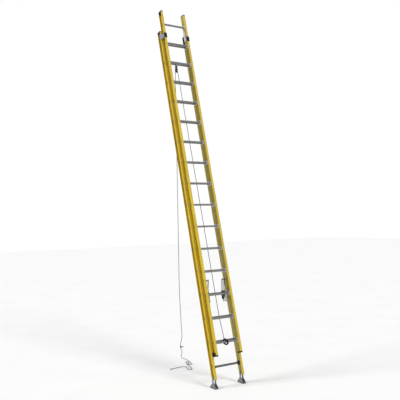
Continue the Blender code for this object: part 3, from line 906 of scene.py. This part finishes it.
def make_top(side, sign):
    """The base rail's end cap and a black strip, the guide's rivets and the fly's wear plate."""
    near = BASE_CLEAR / 2
    outer = near + RAIL_FLANGE
    top = BASE_RAIL_FOOT + RAIL_LENGTH
    half = RAIL_DEPTH / 2

    bm = bmesh.new()
    lap = 0.0004
    lid = rectangle((near - lap, outer + lap), (-half - lap, half + lap))
    rounded, _ = fillet(mirror_x(lid, sign), 0.004, 3)
    middle = sign * (near + outer) / 2
    rings = []
    for s, grow in ((lap, 1.0), (0.005, 1.0), (0.0075, 0.985), (0.0085, 0.94)):
        rings.append([(middle + (x - middle) * grow, n * grow, top + s) for x, n in rounded])
    loft_into(bm, rings)
    plug = rectangle((near + 0.0065, outer - 0.003), (-half + 0.0065, half - 0.0065))
    plug, _ = fillet(mirror_x(plug, sign), 0.002, 2)
    prism_into(bm, plug, top - 0.024, top + 0.002, axis="s")
    piece(f"base_end_cap_{side}", bm, BASE, [BLACK], bevel=0.0006)

    # A black strip on the inside of the base's web, above its top rung.
    bm = bmesh.new()
    corners = [(-0.004, 4.875), (0.0372, 4.862), (0.0372, 5.016), (0.002, 5.016)]
    black_strip, _ = fillet(corners, 0.005, 3)
    prism_into(bm, black_strip, sign * (near - 0.0035), sign * (near - 0.0002))
    for s in (4.885, 4.94, 4.995):
        rivet_into(bm, sign * (near - 0.0035), 0.020, s, -sign, 0.004, 0.0018, slot=1)
    piece(f"base_liner_{side}", bm, BASE, [BLACK, DARK_STEEL], bevel=0.0006)

    # Rivets that hold the guide bracket to the base, and the pad to the bracket.
    bm = bmesh.new()
    face = outer + GAP + BRACKET_THICK
    for n, s in ((-0.024, 4.925), (-0.024, 4.950)):
        rivet_into(bm, sign * face, n, s, sign, 0.0048, 0.0025)
    fly_face = FLY_CLEAR / 2 + RAIL_FLANGE + PAD_LIP + GAP + BRACKET_THICK
    for n, s in ((-0.090, 4.900), (-0.090, 4.938)):
        rivet_into(bm, sign * fly_face, n, s, sign, 0.0048, 0.0025)
    piece(f"guide_rivets_{side}", bm, BASE, [ZINC], sharp=60)

    # Wear plate on the inside of the fly's web, from its top rung down to the guide.
    bm = bmesh.new()
    outline = [(-0.0400, 5.078), (-0.0820, 5.078), (-0.0880, 4.985), (-0.0940, 4.966)]
    outline += [(-0.0975, 4.955), (-0.0975, 4.905), (-0.0400, 4.905)]
    outline, _ = fillet(outline, 0.004, 3)
    web = FLY_CLEAR / 2
    prism_into(bm, outline, sign * (web - 0.0026), sign * (web - 0.0002))
    for n, s in ((-0.060, 5.06), (-0.062, 5.0), (-0.052, 4.925), (-0.088, 4.93)):
        rivet_into(bm, sign * (web - 0.0026), n, s, -sign, 0.004, 0.0018, slot=1)
    piece(f"fly_wear_plate_{side}", bm, FLY, [PAINTED_LIGHT_PLATE, ZINC], bevel=0.0005)


def make_lock_details(side, sign):
    """The lock's return spring, washers and rod ends."""
    datum = base_rung_height(LOCK_RUNG)
    n, s = LOCK_PIVOT[0], datum + LOCK_PIVOT[1]
    web = FLY_CLEAR / 2
    outer = web - LOCK_INSET
    inner = outer - LOCK_SPREAD
    bm = bmesh.new()
    coil = []
    turns, steps, wide = 4.5, 90, 0.0072
    for i in range(steps + 1):
        t = 2 * math.pi * turns * i / steps
        x = outer + 0.004 + 0.016 * i / steps
        coil.append((sign * x, n + wide * math.cos(t), s + wide * math.sin(t)))
    leg_in, leg_out = [], []
    for i in range(5, 0, -1):
        leg_in.append((sign * (outer + 0.0035), n + wide + 0.0022 * i, s - 0.0072 * i))
    for i in range(1, 5):
        leg_out.append((sign * (outer + 0.020), n - wide - 0.002 * i, s + 0.006 * i))
    tube_into(bm, leg_in + coil + leg_out, 0.0009, 8)
    lathe_into(bm, [(0.0, 0.0095), (0.0012, 0.0095)], (sign * (web - 0.0030), n, s), 20)
    for pin in (LOCK_PIVOT, LOCK_ROD, FINGER_PIVOT):
        height = datum + pin[1]
        rivet_into(bm, sign * inner, pin[0], height, -sign, 0.0052, 0.0022)
        if pin != LOCK_PIVOT:
            rivet_into(bm, sign * outer, pin[0], height, sign, 0.0052, 0.0022)
    piece(f"lock_spring_{side}", bm, f"lock_{side}_body", [ZINC], sharp=60)


def make_shoe_details(side):
    """A ribbed rubber pad riveted under the shoe, and teeth along the shoe's ends."""
    low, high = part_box(f"shoe_pad_{side}")
    bm = bmesh.new()
    top, foot = high.z, low.z
    length, ribs, depth = high.y - low.y, 13, 0.0028
    outline = [(low.y, top), (high.y, top)]
    for i in range(ribs):
        a = high.y - length * i / ribs
        b = high.y - length * (i + 1) / ribs
        outline += [(a, foot + depth), (a - 0.0012, foot)]
        outline += [(b + 0.0034, foot), (b + 0.0022, foot + depth)]
    outline += [(low.y, foot + depth)]
    stations = (low.x, low.x + 0.0015, high.x - 0.0015, high.x)
    rings = [[(x, y, z) for y, z in outline] for x in stations]
    for end in (0, 3):
        rings[end] = [(x, y * 0.998 + 0.002 * (low.y + high.y) / 2, z) for x, y, z in rings[end]]
    loft_into(bm, rings)
    body = f"shoe_{side}_body"
    piece(f"shoe_tread_{side}", bm, body, [RUBBER], [f"shoe_pad_{side}"], leaning=False)

    bm = bmesh.new()
    plate_low, plate_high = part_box(f"shoe_{side}")
    deck = top + GAP + 0.004
    middle = (plate_low.x + plate_high.x) / 2
    for y in (low.y + 0.018, high.y - 0.018):
        for x in (middle - 0.009, middle + 0.009):
            head = [(0.0, 0.0042), (0.0008, 0.0040), (0.0017, 0.0028), (0.0022, 0.0008)]
            rings = [[(x + dx, y + dy, deck + h) for dx, dy in circle(r, 14)] for h, r in head]
            loft_into(bm, rings)
    teeth = 7
    span = plate_high.x - plate_low.x
    for y, way in ((plate_low.y, -1), (plate_high.y, 1)):
        for i in range(teeth):
            a = plate_low.x + span * i / teeth
            b = plate_low.x + span * (i + 1) / teeth
            low_z, high_z = top + GAP + 0.0003, top + GAP + 0.0037
            flat = [(a + 0.0004, y - way * 0.001), (b - 0.0004, y - way * 0.001)]
            flat.append(((a + b) / 2, y + way * 0.0036))
            loft_into(bm, [[(px, py, z) for px, py in flat] for z in (low_z, high_z)])
    piece(f"shoe_trim_{side}", bm, body, [SHOE], leaning=False, sharp=50)


def make_pulley_details():
    """The grooved sheave, and the rivets through the pulley's cheeks."""
    low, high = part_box("pulley_sheave")
    centre = (low + high) / 2
    half = (high.x - low.x) / 2
    rim = (high.z - low.z) / 2
    groove = SHEAVE_PITCH_RADIUS - ROPE / 2 - GAP
    profile = [(-half, 0.0043), (-half, 0.012), (-half + 0.0012, 0.0135), (-half + 0.0012, 0.0235)]
    profile += [(-half, 0.0250), (-half, rim - 0.0008), (-half + 0.0008, rim)]
    curve = []
    for i in range(9):
        t = math.pi * (i / 8)
        curve.append((-0.0058 * math.cos(t), rim - (rim - groove) * math.sin(t) ** 0.8))
    mirrored = [(-x, r) for x, r in reversed(profile)]
    bm = bmesh.new()
    lathe_into(bm, profile + curve + mirrored, centre, 56, ring_shaped=True)
    node = ["pulley_sheave"]
    piece("sheave_wheel", bm, "sheave_body", [BLACK], node, False, 40)

    bm = bmesh.new()
    cheek_low, cheek_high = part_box("pulley_block")
    for sign, face in ((-1, cheek_low.x), (1, cheek_high.x)):
        for dy, dz, r in ((0, 0, 0.0062), (0, SHEAVE_DROP, 0.0052), (0, -0.0365, 0.0048)):
            rivet_into(bm, face, centre.y + dy, centre.z + dz, sign, r, 0.0024, sides=16)
    piece("pulley_rivets", bm, "pulley_body", [ZINC], leaning=False, sharp=60)


# --- stage --------------------------------------------------------------------------------------


def bank_light(name, bearing, height, strength, spread):
    """A broad, far light. bearing is from -Y round to -X, in degrees, and height above level."""
    data = bpy.data.lights.new(name, "SUN")
    data.energy = strength
    data.angle = math.radians(spread)
    made = bpy.data.objects.new(name, data)
    turn, lift = math.radians(bearing), math.radians(height)
    level = math.cos(lift)
    way = Vector((-math.sin(turn) * level, -math.cos(turn) * level, math.sin(lift)))
    made.location = 9 * way
    made.rotation_mode = "QUATERNION"
    made.rotation_quaternion = way.to_track_quat("Z", "Y")
    bpy.context.scene.collection.objects.link(made)


def make_stage():
    """A pale floor, white walls far off and two banks of soft light."""
    bm = bmesh.new()
    edge = 40.0
    corners = ((-edge, -edge, 0), (edge, -edge, 0), (edge, edge, 0), (-edge, edge, 0))
    bm.faces.new([bm.verts.new(p) for p in corners])
    mesh = bpy.data.meshes.new("floor")
    bm.to_mesh(mesh)
    bm.free()
    mesh.materials.append(floor_paint())
    floor = bpy.data.objects.new("floor", mesh)
    floor.location.z = -0.0002
    bpy.context.scene.collection.objects.link(floor)

    world = bpy.data.worlds.new("studio")
    world.use_nodes = True
    # The studio's walls look white, yet give the object less light than the two banks do.
    tree = world.node_tree
    background = tree.nodes["Background"]
    background.inputs["Color"].default_value = (1.0, 1.0, 1.0, 1.0)
    seen = tree.nodes.new("ShaderNodeLightPath").outputs["Is Camera Ray"]
    strength = tree.nodes.new("ShaderNodeMapRange")
    strength.inputs["To Min"].default_value = 0.42
    strength.inputs["To Max"].default_value = 1.0
    tree.links.new(seen, strength.inputs["Value"])
    tree.links.new(strength.outputs["Result"], background.inputs["Strength"])
    bpy.context.scene.world = world
    bank_light("left_bank", 102.0, 24.0, 2.2, 24.0)
    bank_light("front_bank", -8.0, 38.0, 2.0, 20.0)
    bpy.context.scene.view_settings.view_transform = "Standard"


# --- the whole ----------------------------------------------------------------------------------


def main():
    for old in ("Cube", "Light", "Camera"):
        if old in bpy.data.objects:
            bpy.data.objects.remove(bpy.data.objects[old], do_unlink=True)
    make_camera()
    make_rope()
    for side, sign in SIDES:
        make_rail("base", BASE, BASE_CLEAR, 0.0, BASE_RAIL_FOOT, side, sign)
        make_rail("fly", FLY, FLY_CLEAR, -SECTION_STEP, FLY_RAIL_FOOT, side, sign)
    for number in range(1, RUNGS + 1):
        make_rung("base", BASE, BASE_CLEAR, 0.0, base_rung_height(number), number)
        make_rung("fly", FLY, FLY_CLEAR, -SECTION_STEP, fly_rung_height(number), number)
    for side, sign in SIDES:
        make_top(side, sign)
        make_lock_details(side, sign)
        make_shoe_details(side)
        dress(f"top_guide_{side}", BRACKET, 0.0006)
        dress(f"guide_pad_{side}", BLACK, 0.0008)
        dress(f"fly_cap_{side}", BLACK, 0.001)
        dress(f"fly_foot_{side}", BLACK, 0.001)
        dress(f"lock_{side}", CASTING, 0.0005)
        dress(f"lock_finger_{side}", BLACK, 0.001)
        dress(f"shoe_{side}", SHOE, 0.0006)
        dress(f"shoe_bolt_{side}", ZINC, 0.0004)
    make_pulley_details()
    dress("pulley_strap", ZINC, 0.0004)
    dress("pulley_block", ZINC, 0.0005)
    dress("pulley_axle", ZINC)
    make_stage()


main()
